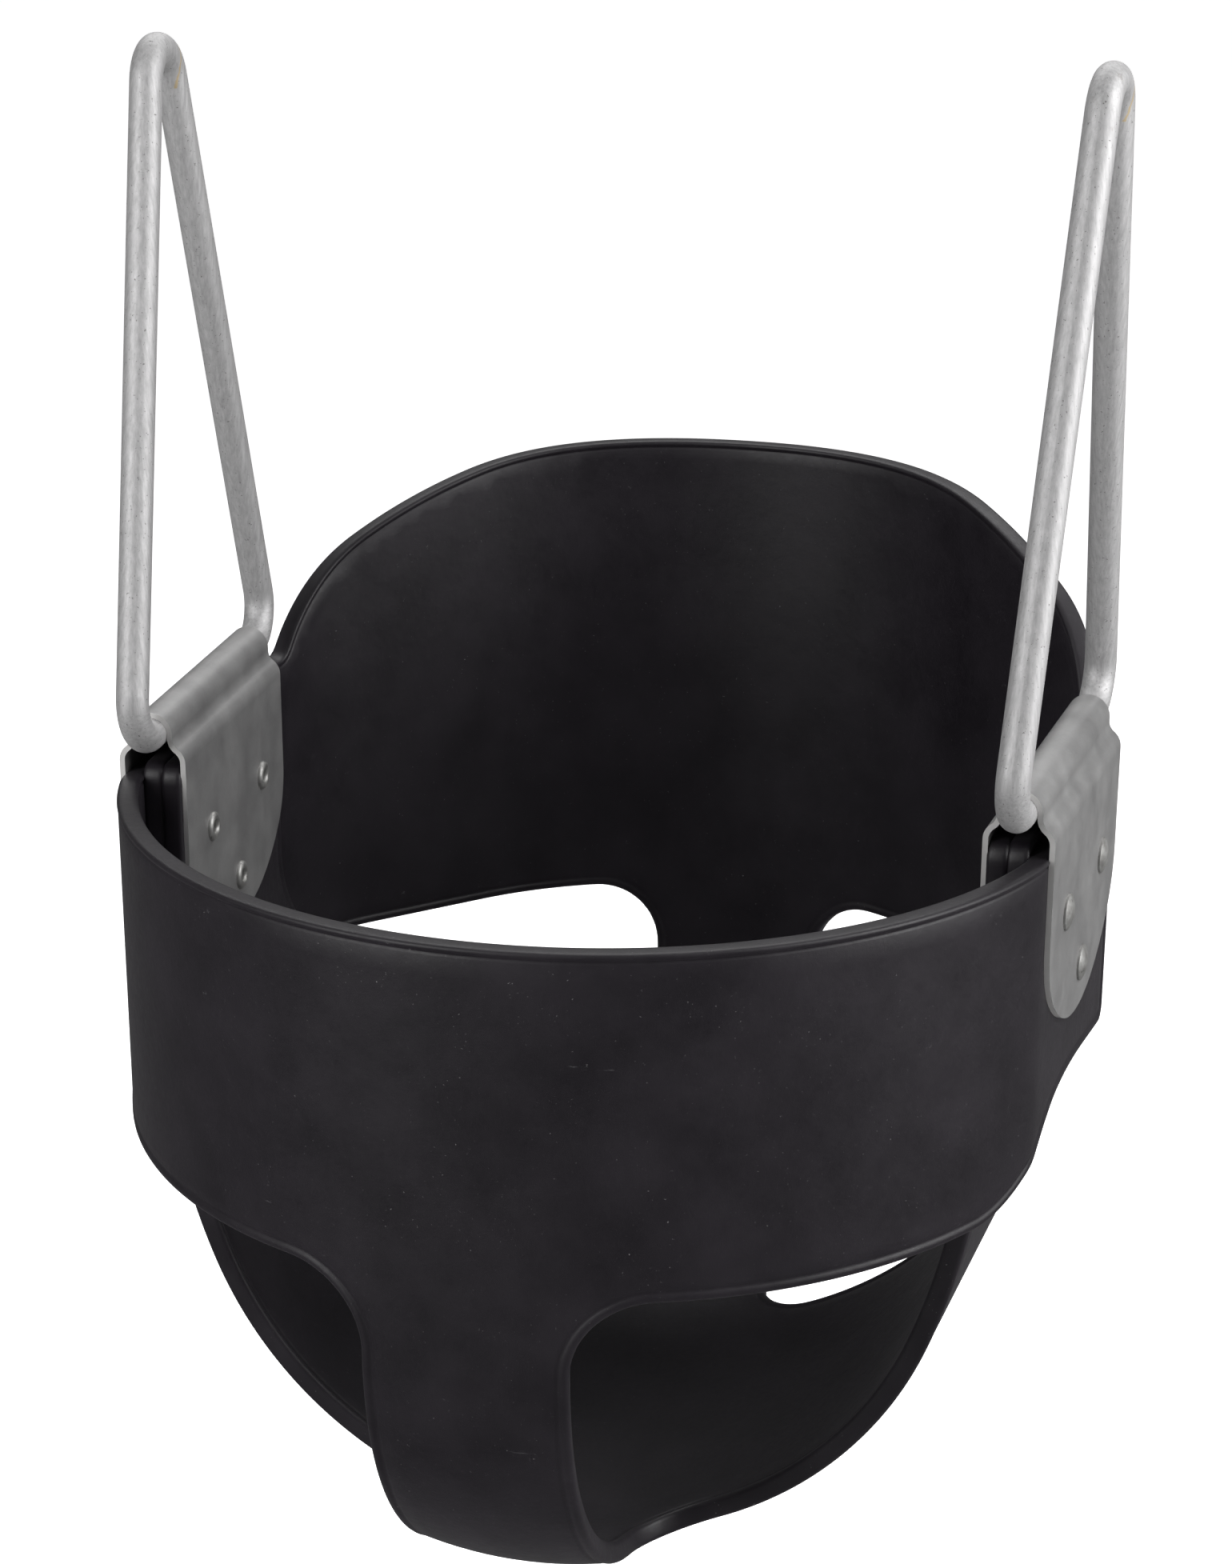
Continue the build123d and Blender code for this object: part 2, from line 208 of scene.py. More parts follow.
def rear_plan():
    """Plan line of the back wall: rear bend, straight flank, corner, and its end in the bracket."""
    turn = math.radians(REAR_FLANK_DEG)
    radius = REAR_BEND - MID
    joint = np.array((math.sin(turn), math.cos(turn))) * radius + (0, REAR - REAR_BEND)
    flank = np.array((math.cos(turn), -math.sin(turn)))
    reach, meeting = np.linalg.solve(np.stack([flank, -BAR_DIR], axis=1), beside(0, 0) - joint)
    room = meeting - HALF_BRACKET
    rest = math.pi / 2 + TOE - turn
    corner = room / math.tan(rest / 2)
    runs = ((radius * turn, -turn), (reach - room, 0), (corner * rest, -rest),
            (HALF_BRACKET + LAYER_END, 0))
    return Line2D((0, REAR - MID), 0, runs)


def pan_section():
    """Section of the pan across the seat, from the keel to the top of a wing: out and up."""
    wall = -MID * 2
    flank = PAN_SIDE - MID
    low = np.array((-PIVOT.x, LOW - PIVOT.z + MID))
    centre = np.array((wall - flank, PAN_SIDE_TOP))
    small = joining_radius(low, (0, 1), centre, flank)
    joint = low + np.array((0, small)) - centre
    turn = math.pi / 2 + math.atan2(joint[1], joint[0])
    rest = math.pi / 2 - turn
    runs = ((small * turn, turn), (flank * rest, rest), (LAYER_TOP - PAN_SIDE_TOP, 0))
    return Line2D((0, low[1]), 0, runs)


def keel_side():
    """Side view of the straps from the middle of the seat, forwards and back: run and height."""
    radius = KEEL - MID
    flat = (REAR - FRONT) / 2 - KEEL
    quarter = radius * math.pi / 2
    runs = ((flat, 0), (quarter, math.pi / 2), (1.0, 0))
    return Line2D((0, LOW - PIVOT.z + MID), 0, runs)


FRONT_LINE = front_plan()
REAR_LINE = rear_plan()
PAN_LINE = pan_section()
KEEL_LINE = keel_side()
MIDDLE_Y = (FRONT + REAR) / 2
BEND_END = KEEL_LINE.runs[0][0] + KEEL_LINE.runs[1][0]      # the straps are upright past here
KEEL_TOP = LOW - PIVOT.z + KEEL


def run_at_height(z):
    """Length along the keel line, from the seat's middle, at a height on an upright strap."""
    return BEND_END + z - KEEL_TOP


def run_at_y(y):
    """Length along the keel line at a place near the pan's flat middle, signed like y."""
    reach = abs(y - MIDDLE_Y)
    flat, radius = KEEL_LINE.runs[0][0], KEEL - MID
    if reach <= flat:
        return math.copysign(reach, y - MIDDLE_Y)
    return math.copysign(flat + radius * math.asin((reach - flat) / radius), y - MIDDLE_Y)


LIP_RUN = {-1: run_at_y(PAN_FRONT), 1: run_at_y(PAN_REAR)}


def skin(u, t):
    """Mid-surface points of the folded moulding. u runs across it, t along its centre line."""
    a = np.abs(u)
    front = t < 0
    run, height, tilt = KEEL_LINE.at(np.abs(t))
    y = MIDDLE_Y + np.where(front, -run, run)
    lip = np.where(front, -LIP_RUN[-1], LIP_RUN[1])
    band = smooth((np.abs(t) - lip) / (BEND_END - lip))
    front_x, front_y, _ = FRONT_LINE.at(a)
    rear_x, rear_y, _ = REAR_LINE.at(a)
    band_x = np.where(front, front_x, rear_x)
    inwards = np.where(front, front_y - (FRONT + MID), REAR - MID - rear_y)
    pan_x, pan_z, _ = PAN_LINE.at(a)
    rise = pan_z - (LOW - PIVOT.z + MID)
    spread = 1 - (1 - band) * smooth(
        (a - SPREAD_FROM * HALF_STRAP) / (SPREAD_OVER * HALF_STRAP))
    lean = tilt * spread
    depth = mix(rise, inwards, band)
    y = y + np.where(front, 1, -1) * np.sin(lean) * depth
    z = height + np.cos(lean) * depth
    toe = math.tan(TOE) * (y + math.tan(TOE) * (pan_x - PIVOT.x))
    toe = toe * smooth(a / PAN_LINE.length * TOE_RISE)
    x = mix(pan_x + toe, band_x, band)
    return np.stack([np.sign(u) * x, y, PIVOT.z + z], axis=-1)


def skin_normal(u, t):
    """Unit normals of the mid-surface, pointing out of the bucket."""
    step = 1e-4
    across = skin(u + step, t) - skin(u - step, t)
    along = skin(u, t + step) - skin(u, t - step)
    normal = np.cross(along, across)
    return normal / np.linalg.norm(normal, axis=-1, keepdims=True)


# ---- the moulding's flat pattern ---------------------------------------------------------------
def rounded(corners):
    """Points of an open outline through corners (u, t, radius), with an arc at each radius."""
    points = []
    for before, here, after in zip([None] + corners[:-1], corners, corners[1:] + [None]):
        p = np.array(here[:2])
        if not here[2] or before is None or after is None:
            points.append(p)
            continue
        a = np.array(before[:2]) - p
        b = np.array(after[:2]) - p
        a, b = a / np.linalg.norm(a), b / np.linalg.norm(b)
        half = math.acos(np.clip(a @ b, -1, 1)) / 2
        centre = p + (a + b) / np.linalg.norm(a + b) * here[2] / math.sin(half)
        first = p + a * here[2] / math.tan(half) - centre
        last = p + b * here[2] / math.tan(half) - centre
        sweep = math.pi - 2 * half
        for share in np.linspace(0, 1, ARC_POINTS):
            ray = first * math.sin((1 - share) * sweep) + last * math.sin(share * sweep)
            points.append(centre + ray / math.sin(sweep))
    return points


def curve_between(start, end, start_slope, end_slope):
    """Points of a cubic from start to end with a direction at each end, the ends left out."""
    start, end = np.array(start), np.array(end)
    reach = np.linalg.norm(end - start)
    p1 = start + np.array(start_slope) * reach / 3
    p2 = end - np.array(end_slope) * reach / 3
    made = []
    for s in np.linspace(0, 1, CURVE_POINTS)[1:-1]:
        rest = 1 - s
        made.append(rest**3 * start + 3 * s * rest**2 * p1 + 3 * s * s * rest * p2 + s**3 * end)
    return made


def length_at_y(line, y, top):
    """Length along a plan line where it reaches y."""
    s = np.linspace(0, top, LINE_POINTS)
    found = line.at(s)[1]
    order = np.argsort(found)
    return float(np.interp(y, found[order], s[order]))


def wing_length_at(z):
    """Length along the pan's section where it reaches a height."""
    s = np.linspace(0, PAN_LINE.length, LINE_POINTS)
    return float(np.interp(z, PAN_LINE.at(s)[1], s))


def front_edge():
    """Half outline of the front band and its strap, from the front rim down to the pan's lip."""
    top = -run_at_height(RIM_FRONT)
    low = -run_at_height(BAND_LOW)
    end = FRONT_LINE.length
    mid = length_at_y(FRONT_LINE, BAND_MID_Y, end)
    turn = length_at_y(FRONT_LINE, BAND_TURN_Y, end)
    tip = -run_at_height(BAND_TIP)
    middle = -run_at_height(BAND_MID)
    outline = rounded([
        (0, top, 0), (end, top, END_CORNER), (end, tip, END_CORNER),
        (end - TIP_RUN * END_CORNER, tip - TIP_RUN * TIP_SLOPE * END_CORNER, 0)])
    outline = outline[:-1] + curve_between(
        (end - END_CORNER, tip - TIP_SLOPE * END_CORNER), (mid, middle),
        (-1, -TIP_SLOPE), (-1, MID_SLOPE))
    outline += [np.array((mid, middle))]
    outline += curve_between((mid, middle), (turn, low), (-1, MID_SLOPE), (-1, TURN_SLOPE))
    strap = rounded([(turn, low, 0), (HALF_STRAP, low, STRAP_CORNER), (HALF_STRAP, LIP_RUN[-1], 0)])
    return outline + strap[:-1]


def wing_edge():
    """Half outline of the pan, from the front strap's edge round its wing to the spine's edge."""
    top = PAN_LINE.length
    neck = wing_length_at(PAN_NECK)
    shoulder = wing_length_at(PAN_LIP_TOP)
    front, rear = LIP_RUN[-1], LIP_RUN[1]
    front_neck, rear_neck = run_at_y(-LAYER_END), run_at_y(LAYER_END)
    corner = STRAP_CORNER
    outline = rounded([(HALF_STRAP, front - 2 * corner, 0), (HALF_STRAP, front, corner),
                       (shoulder, front, 0)])
    outline = outline[1:] + curve_between((shoulder, front), (neck, front_neck), (1, 0), (1, 0))
    outline += rounded([(neck, front_neck, 0), (top, front_neck, END_CORNER),
                        (top, rear_neck, END_CORNER), (neck, rear_neck, 0)])
    outline += curve_between((neck, rear_neck), (shoulder, rear), (-1, 0), (-1, 0))
    outline += rounded([(shoulder, rear, 0), (HALF_STRAP, rear, corner),
                        (HALF_STRAP, rear + 2 * corner, 0)])
    return outline[:-1]


def back_rim_height(y):
    """Height of the back rim behind the bracket's layers: one long arc in side view."""
    return RIM_REAR - RIM_CROWN + np.sqrt(RIM_CROWN**2 - (y - REAR) ** 2)


def back_edge():
    """Half outline of the back wall and its spine, from the pan's rear lip up to the back rim."""
    low = run_at_height(BAND_LOW)
    end = REAR_LINE.length
    turn = length_at_y(REAR_LINE, WALL_TURN_Y, end)
    end_y = float(REAR_LINE.at(end)[1])
    tip = WALL_TIP + (BAND_LOW - WALL_TIP) * (end_y - WALL_TIP_Y) / (WALL_TURN_Y - WALL_TIP_Y)
    top = run_at_height(LAYER_TOP)
    rise_y = REAR - math.sqrt(RIM_CROWN**2 - (LAYER_TOP - RIM_REAR + RIM_CROWN) ** 2)
    foot = rise_y + np.arange(FOOT_PLACES) * FOOT_STEP
    crest = np.linspace(rise_y + FOOT_END, REAR - MID, RIM_PLACES)
    rim = []
    for y in np.concatenate([foot, crest]):
        height = float(back_rim_height(y))
        rim.append(np.array((length_at_y(REAR_LINE, y, end), run_at_height(height))))
    outline = rounded([
        (HALF_STRAP, LIP_RUN[1], 0), (HALF_STRAP, low, STRAP_CORNER), (turn, low, WALL_TURN_BEND),
        (end, run_at_height(tip), END_CORNER), (end, top, END_CORNER),
        (*rim[0], RIM_FOOT), (*rim[FOOT_JOIN], 0)])
    return outline[1:-1] + rim[FOOT_JOIN:]


def resampled(points, step):
    """A closed outline's points again, evenly spaced."""
    points = np.array(points)
    closed = np.vstack([points, points[:1]])
    gaps = np.linalg.norm(np.diff(closed, axis=0), axis=1)
    passed = np.concatenate([[0], np.cumsum(gaps)])
    count = int(round(passed[-1] / step))
    at = np.linspace(0, passed[-1], count, endpoint=False)
    return np.stack([np.interp(at, passed, closed[:, k]) for k in (0, 1)], axis=1)


def pattern_outline():
    """The moulding's whole flat outline: the half edges and their mirror image, evenly sampled."""
    half = front_edge() + wing_edge() + back_edge()
    other = [p * (-1, 1) for p in half[::-1]]
    return resampled(half[1:-1] + other[1:-1], EDGE_STEP)


def inward_normals(loop):
    """Unit normals of a closed outline, pointing inside it."""
    along = np.roll(loop, -1, axis=0) - np.roll(loop, 1, axis=0)
    along = along + 0.5 * (np.roll(along, 1, axis=0) + np.roll(along, -1, axis=0))
    along /= np.linalg.norm(along, axis=1, keepdims=True)
    area = np.sum(loop[:, 0] * np.roll(loop[:, 1], -1) - np.roll(loop[:, 0], -1) * loop[:, 1])
    return np.stack([-along[:, 1], along[:, 0]], axis=1) * np.sign(area)


def inside_points(loop, step, gap):
    """Grid points inside a closed outline and at least gap away from it."""
    low, high = loop.min(0), loop.max(0)
    half = math.floor(high[0] / step)
    us = np.arange(-half, half + 1) * step
    ts = np.arange(low[1] + step / 2, high[1], step)
    grid = np.stack(np.meshgrid(us, ts), axis=-1).reshape(-1, 2)
    following = np.roll(loop, -1, axis=0)
    across, up = (following - loop).T
    slopes_from = up + 1e-15       # never quite zero, so that level pieces can be divided by
    kept = []
    for block in np.array_split(grid, GRID_BLOCKS):
        px, py = block[:, :1], block[:, 1:]
        spans = (loop[:, 1] > py) != (following[:, 1] > py)
        cross = loop[:, 0] + (py - loop[:, 1]) / slopes_from * across
        odd = np.sum(spans & (px < cross), axis=1) % 2 == 1
        near = np.min((loop[:, 0] - px) ** 2 + (loop[:, 1] - py) ** 2, axis=1) < gap**2
        kept.append(block[odd & ~near])
    return np.concatenate(kept)


def bead_width(edge):
    """How wide the bead's section is at each point of the outline: narrower along the rims."""
    start, full = run_at_height(RIM_BEAD_FROM), run_at_height(RIM_BEAD_FULL)
    return mix(1, RIM_BEAD, smooth((np.abs(edge[:, 1]) - start) / (full - start)))


def moulding_mesh():
    """The whole rubber moulding: beaded edges from nested outlines, faces from a grid."""
    edge = pattern_outline()
    count = len(edge)
    inwards = inward_normals(edge) * bead_width(edge)[:, None]
    loops = [edge + inwards * d for d, _ in BEAD]
    inner = loops[-1]
    grid = inside_points(inner, GRID_STEP, GRID_STEP * GRID_GAP)
    flat = np.vstack([inner, grid])
    ring = list(range(count))
    made = geometry.delaunay_2d_cdt([Vector(p) for p in flat], [], [ring], 1, MERGE)
    if len(made[0]) != len(flat):
        raise RuntimeError(f"the flat pattern's points merged: {len(made[0])} of {len(flat)}")
    faces = [tuple(f) for f in made[2]]
    uv = np.vstack(loops[:-1] + [flat])
    half = np.concatenate([np.full(count, h) for _, h in BEAD] + [np.full(len(grid), BEAD[-1][1])])
    base = count * (len(BEAD) - 1)
    centre = skin(uv[:, 0], uv[:, 1])
    normal = skin_normal(uv[:, 0], uv[:, 1])
    outer = centre + normal * half[:, None]
    inner_side = centre - normal * half[:, None]
    total = len(uv)
    points = np.vstack([outer, inner_side, centre[:count]])
    polygons = []
    for k in range(count):
        n = (k + 1) % count
        for level in range(len(BEAD) - 1):
            a, b = level * count, (level + 1) * count
            polygons.append((a + k, a + n, b + n, b + k))
            polygons.append((total + a + k, total + b + k, total + b + n, total + a + n))
        polygons.append((2 * total + k, 2 * total + n, n, k))
        polygons.append((2 * total + k, total + k, total + n, 2 * total + n))
    for f in faces:
        polygons.append(tuple(base + i for i in f))
        polygons.append(tuple(total + base + i for i in reversed(f)))
    mesh = bpy.data.meshes.new("rubber_moulding")
    mesh.from_pydata([tuple(p) for p in points], [], polygons)
    mesh.validate()
    return mesh


def make_moulding():
    mesh = moulding_mesh()
    piece = bpy.data.objects.new("rubber_moulding", mesh)
    bpy.context.scene.collection.objects.link(piece)
    bm = bmesh.new()
    bm.from_mesh(mesh)
    bmesh.ops.recalc_face_normals(bm, faces=bm.faces)
    bm.to_mesh(mesh)
    bm.free()
    mesh.shade_smooth()
    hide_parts("seat_shell")
    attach(piece, "seat")
    return piece


# ---- materials ---------------------------------------------------------------------------------
RUBBER_DARK = (0.0054, 0.0040, 0.0062)
RUBBER_LIGHT = (0.0106, 0.0082, 0.0118)
RUBBER_PATCH = (0.0086, 0.0068, 0.0098)
DUST = (0.15, 0.145, 0.15)
SCUFF = (0.085, 0.082, 0.088)
ZINC_DARK = (0.290, 0.287, 0.289)
ZINC_LIGHT = (0.395, 0.392, 0.391)
ZINC_GRAIN = (0.52, 0.517, 0.515)
ZINC_MARK = (0.62, 0.62, 0.61)
ZINC_SHEARED = (0.76, 0.75, 0.74)
RIVET_DARK = (0.30, 0.295, 0.285)
RIVET_LIGHT = (0.47, 0.47, 0.46)
RIVET_DIRT = (0.13, 0.125, 0.12)
SPRING_DARK = (0.10, 0.105, 0.12)
SPRING_LIGHT = (0.20, 0.205, 0.22)
HANGER_DARK = (0.365, 0.361, 0.364)
HANGER_LIGHT = (0.555, 0.551, 0.554)
HANGER_CLOUD = (0.46, 0.456, 0.459)
HANGER_SPECK = (0.14, 0.135, 0.13)
WELD_STAIN = (0.27, 0.255, 0.24)
WELD = (0.50, 0.41, 0.27)
FLOOR_DARK = (0.95, 0.95, 0.95)
FLOOR_LIGHT = (0.97, 0.97, 0.97)

EDGEWAYS = 0.3           # the sheet's cut ends face forwards or back by more than this
DOWNWARDS = -0.5         # and its lower cut edges face down by more than this
BASE_HEIGHT = 0.020      # of the hanger's bottom bar, whose streaks run along it
WELD_BACK = 0.0090       # the hanger's weld, behind the middle of its top bend
WELD_DROP = 0.0210       # and no further down than this
WELD_WANDER = 0.0008     # the weld's line strays this far to each side


class Shader:
    """Short words for the nodes of one material."""

    def __init__(self, name):
        self.material = bpy.data.materials.new(name)
        self.material.use_nodes = True
        self.tree = self.material.node_tree
        self.tree.nodes.clear()
        self.output = self.tree.nodes.new("ShaderNodeOutputMaterial")
        self.surface = self.tree.nodes.new("ShaderNodeBsdfPrincipled")
        self.link(self.surface.outputs[0], self.output.inputs[0])
        self.place = self.tree.nodes.new("ShaderNodeTexCoord").outputs["Object"]

    def link(self, a, b):
        self.tree.links.new(a, b)

    def set(self, **values):
        for name, value in values.items():
            self.surface.inputs[name.replace("_", " ")].default_value = value

    def noise(self, scale, detail=4, rough=0.55, place=None):
        node = self.tree.nodes.new("ShaderNodeTexNoise")
        node.inputs["Scale"].default_value = scale
        node.inputs["Detail"].default_value = detail
        node.inputs["Roughness"].default_value = rough
        self.link(place or self.place, node.inputs["Vector"])
        return node.outputs["Fac"]

    def stretched(self, scale, turn=(0, 0, 0)):
        """The place on the object, scaled by axis and turned, for marks that run one way."""
        node = self.tree.nodes.new("ShaderNodeMapping")
        node.inputs["Scale"].default_value = scale
        node.inputs["Rotation"].default_value = turn
        self.link(self.place, node.inputs["Vector"])
        return node.outputs[0]

    def ramp(self, value, stops):
        node = self.tree.nodes.new("ShaderNodeValToRGB")
        ramp = node.color_ramp
        while len(ramp.elements) < len(stops):
            ramp.elements.new(0.5)
        for element, (at, colour) in zip(ramp.elements, stops):
            element.position = at
            grey = colour if isinstance(colour, tuple) else (colour, colour, colour)
            element.color = (*grey, 1)
        self.link(value, node.inputs[0])
        return node.outputs[0]

    def blend(self, share, a, b, kind="MIX"):
        node = self.tree.nodes.new("ShaderNodeMix")
        node.data_type = "RGBA"
        node.blend_type = kind
        for socket, value in ((node.inputs[0], share), (node.inputs[6], a), (node.inputs[7], b)):
            if isinstance(value, bpy.types.NodeSocket):
                self.link(value, socket)
            elif isinstance(value, tuple):
                socket.default_value = (*value, 1)
            else:
                socket.default_value = value
        return node.outputs[2]

    def maths(self, kind, a, b=0.0):
        node = self.tree.nodes.new("ShaderNodeMath")
        node.operation = kind
        for socket, value in zip(node.inputs, (a, b)):
            if isinstance(value, bpy.types.NodeSocket):
                self.link(value, socket)
            else:
                socket.default_value = value
        return node.outputs[0]

    def spread(self, value, low, high):
        """A value from 0 to 1 spread between two others."""
        node = self.tree.nodes.new("ShaderNodeMapRange")
        node.inputs["To Min"].default_value = low
        node.inputs["To Max"].default_value = high
        self.link(value, node.inputs["Value"])
        return node.outputs[0]

    def bump(self, height, distance, strength, under=None):
        node = self.tree.nodes.new("ShaderNodeBump")
        node.inputs["Strength"].default_value = strength
        node.inputs["Distance"].default_value = distance
        self.link(height, node.inputs["Height"])
        if under is not None:
            self.link(under, node.inputs["Normal"])
        return node.outputs[0]

    def axes(self, vector):
        """The x, y and z of a vector."""
        node = self.tree.nodes.new("ShaderNodeSeparateXYZ")
        self.link(vector, node.inputs[0])
        return node.outputs

    def facing(self):
        """The surface's own direction in the frame of the model."""
        return self.tree.nodes.new("ShaderNodeTexCoord").outputs["Normal"]

    def to(self, name, value):
        self.link(value, self.surface.inputs[name])


def rubber():
    """Satin black moulded rubber: faint mottling, fine pitted skin, dust specks, a few scuffs."""
    s = Shader("rubber")
    cloud = s.noise(28, 5, 0.6)
    patch = s.noise(150, 4, 0.6)
    base = s.blend(s.ramp(cloud, ((0.35, 0.0), (0.68, 1.0))), RUBBER_DARK, RUBBER_LIGHT)
    base = s.blend(s.spread(patch, 0.0, 0.35), base, RUBBER_PATCH)
    dust = s.noise(950, 2, 0.7)
    where = s.ramp(s.noise(60, 3, 0.6), ((0.40, 0.0), (0.70, 1.0)))
    specks = s.maths("MULTIPLY", s.ramp(dust, ((0.70, 0.0), (0.76, 1.0))), where)
    base = s.blend(specks, base, DUST)
    scuff_place = s.stretched((14, 160, 260), (0.3, 0.7, 0.9))
    scuffs = s.ramp(s.noise(1.0, 6, 0.75, scuff_place), ((0.68, 0.0), (0.74, 0.6)))
    base = s.blend(scuffs, base, SCUFF)
    s.to("Base Color", base)
    rough = s.maths("ADD", s.spread(cloud, 0.38, 0.56), s.spread(patch, -0.05, 0.06))
    s.to("Roughness", s.maths("ADD", rough, s.spread(s.noise(430, 4, 0.7), -0.10, 0.10)))
    grain = s.bump(s.noise(2600, 3, 0.6), 0.00005, 0.7)
    waves = s.bump(s.noise(75, 4, 0.6), 0.0004, 0.6, grain)
    s.to("Normal", waves)
    s.set(Specular_IOR_Level=0.40, Sheen_Weight=0.03, Sheen_Roughness=0.4)
    return s.material


def bracket_zinc():
    """Folded sheet with a dull zinc finish: soft clouds, fine grain, light handling marks."""
    s = Shader("bracket_zinc")
    cloud = s.noise(55, 5, 0.65)
    grain = s.noise(1500, 3, 0.6)
    tone = s.blend(s.ramp(cloud, ((0.3, 0.0), (0.7, 1.0))), ZINC_DARK, ZINC_LIGHT)
    tone = s.blend(s.spread(grain, 0.0, 0.3), tone, ZINC_GRAIN)
    marks = s.ramp(s.noise(1.0, 5, 0.7, s.stretched((40, 500, 700), (0.9, 0.2, 0.1))),
                   ((0.68, 0.0), (0.76, 0.6)))
    tone = s.blend(marks, tone, ZINC_MARK)
    faces = s.axes(s.facing())
    ends = s.maths("GREATER_THAN", s.maths("ABSOLUTE", faces[1]), EDGEWAYS)
    under = s.maths("MULTIPLY", s.maths("LESS_THAN", faces[2], DOWNWARDS),
                    s.maths("LESS_THAN", s.axes(s.place)[2], PIVOT.z - HALF_BRACKET))
    sheared = s.maths("MAXIMUM", ends, under)
    tone = s.blend(sheared, tone, ZINC_SHEARED)
    s.to("Base Color", tone)
    s.set(Metallic=0.85)
    s.to("Roughness", s.spread(cloud, 0.42, 0.60))
    s.to("Normal", s.bump(grain, 0.00004, 0.6, s.bump(s.noise(120, 3), 0.0002, 0.4)))
    return s.material


def rivet_steel():
    """Plated rivet steel: turned tone, fine grain and a little dirt."""
    s = Shader("rivet_steel")
    cloud = s.noise(260, 4, 0.65)
    tone = s.blend(s.ramp(cloud, ((0.35, 0.0), (0.72, 1.0))), RIVET_DARK, RIVET_LIGHT)
    dirt = s.ramp(s.noise(600, 3, 0.6), ((0.62, 0.0), (0.72, 0.7)))
    tone = s.blend(dirt, tone, RIVET_DIRT)
    s.to("Base Color", tone)
    s.set(Metallic=0.9)
    s.to("Roughness", s.spread(cloud, 0.44, 0.60))
    s.to("Normal", s.bump(s.noise(1800, 3), 0.00003, 0.7))
    return s.material


def spring_steel():
    """Dark strip steel with rolling lines."""
    s = Shader("spring_steel")
    lines = s.noise(1.0, 4, 0.6, s.stretched((60, 60, 2200)))
    s.to("Base Color", s.blend(lines, SPRING_DARK, SPRING_LIGHT))
    s.set(Metallic=0.9)
    s.to("Roughness", s.spread(lines, 0.35, 0.5))
    s.to("Normal", s.bump(lines, 0.00003, 0.5))
    return s.material


def hanger_galvanised(node, name):
    """Galvanised round bar: streaks along each side, dark specks, stains by the welded top."""
    s = Shader(name)
    low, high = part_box(node)
    middle = (low + high) / 2
    rise = high.z - low.z
    slope = math.atan2((high.y - low.y) / 2, rise)
    parts = s.axes(s.place)
    legs = []
    for turn in (slope, -slope):
        legs.append(s.noise(1.0, 5, 0.7, s.stretched((900, 900, 34), (turn, 0, 0))))
    side = s.maths("GREATER_THAN", parts[1], middle.y)
    streaks = s.blend(side, legs[0], legs[1])
    base_streaks = s.noise(1.0, 5, 0.7, s.stretched((900, 34, 900)))
    in_base = s.maths("LESS_THAN", parts[2], low.z + BASE_HEIGHT)
    streaks = s.blend(in_base, streaks, base_streaks)
    cloud = s.noise(85, 5, 0.6)
    tone = s.blend(s.ramp(streaks, ((0.32, 0.0), (0.66, 1.0))), HANGER_DARK, HANGER_LIGHT)
    tone = s.blend(s.spread(cloud, 0.0, 0.45), tone, HANGER_CLOUD)
    specks = s.ramp(s.noise(900, 2, 0.6), ((0.66, 0.0), (0.72, 0.8)))
    tone = s.blend(specks, tone, HANGER_SPECK)
    top_zone = s.maths("GREATER_THAN", parts[2], high.z - WELD_DROP)
    stain = s.ramp(s.noise(140, 4, 0.7), ((0.60, 0.0), (0.72, 0.6)))
    tone = s.blend(s.maths("MULTIPLY", stain, top_zone), tone, WELD_STAIN)
    wander = s.spread(s.noise(300, 2), -WELD_WANDER, WELD_WANDER)
    off_weld = s.maths("ABSOLUTE", s.maths("SUBTRACT", s.maths("ADD", parts[1], wander),
                                           middle.y + WELD_BACK))
    off_weld_mm = s.maths("MULTIPLY", off_weld, 1000)
    weld = s.maths("MULTIPLY", s.ramp(off_weld_mm, ((0.25, 1.0), (0.50, 0.0))), top_zone)
    tone = s.blend(weld, tone, WELD)
    s.to("Base Color", tone)
    s.set(Metallic=0.75)
    s.to("Roughness", s.spread(cloud, 0.56, 0.70))
    s.to("Normal", s.bump(streaks, 0.00006, 0.6, s.bump(s.noise(260, 3), 0.00012, 0.5)))
    return s.material


def floor_material():
    """Matt near-white with a glow, so that it renders as white as the photo's background."""
    s = Shader("floor_pale")
    s.to("Base Color", s.blend(s.noise(3, 2), FLOOR_DARK, FLOOR_LIGHT))
    s.set(Roughness=0.9, Emission_Color=(1, 1, 1, 1), Emission_Strength=FLOOR_GLOW)
    return s.material


def wear(name, material):
    """Gives a CAD node a material through its object's own slot."""
    node = frame["nodes"][name]
    if not node.material_slots:
        raise RuntimeError(f"{name} has no material slot")
    for slot in node.material_slots:
        slot.link = "OBJECT"
        slot.material = material


# ---- camera, light and floor -------------------------------------------------------------------
AZIMUTH = math.radians(15.85)
ELEVATION = math.radians(19.7)
DISTANCE = 1.1995
LENS = 73.825
SENSOR = 36.0
ASIDE, ABOVE = -0.0094, -0.0416
SHIFT = (0.0174, 0.0324)
CLIP_NEAR, CLIP_FAR = 0.05, 50
FLOOR_DROP = 0.30        # the swing hangs this far above the floor
FLOOR_REACH = 40.0       # half the floor's side
FLOOR_GLOW = 0.785       # emission that brings the lit floor up to white
ROOM_LIGHT = 0.105       # strength of the white room round the object
SUN_POWER = 0.45
SUN_WIDTH_DEG = 80
SUN_TILT_DEG = (-12, 8)
# Area lights: degrees aside from the camera and above level, distance, size, watts.
BOXES = (
    ("left_box", -48, 22, 1.7, (0.55, 1.5), 18),
    ("back_box", 180, 52, 2.2, (2.4, 1.0), 24),
    ("right_box", 72, 24, 1.7, (1.0, 1.5), 34),
)


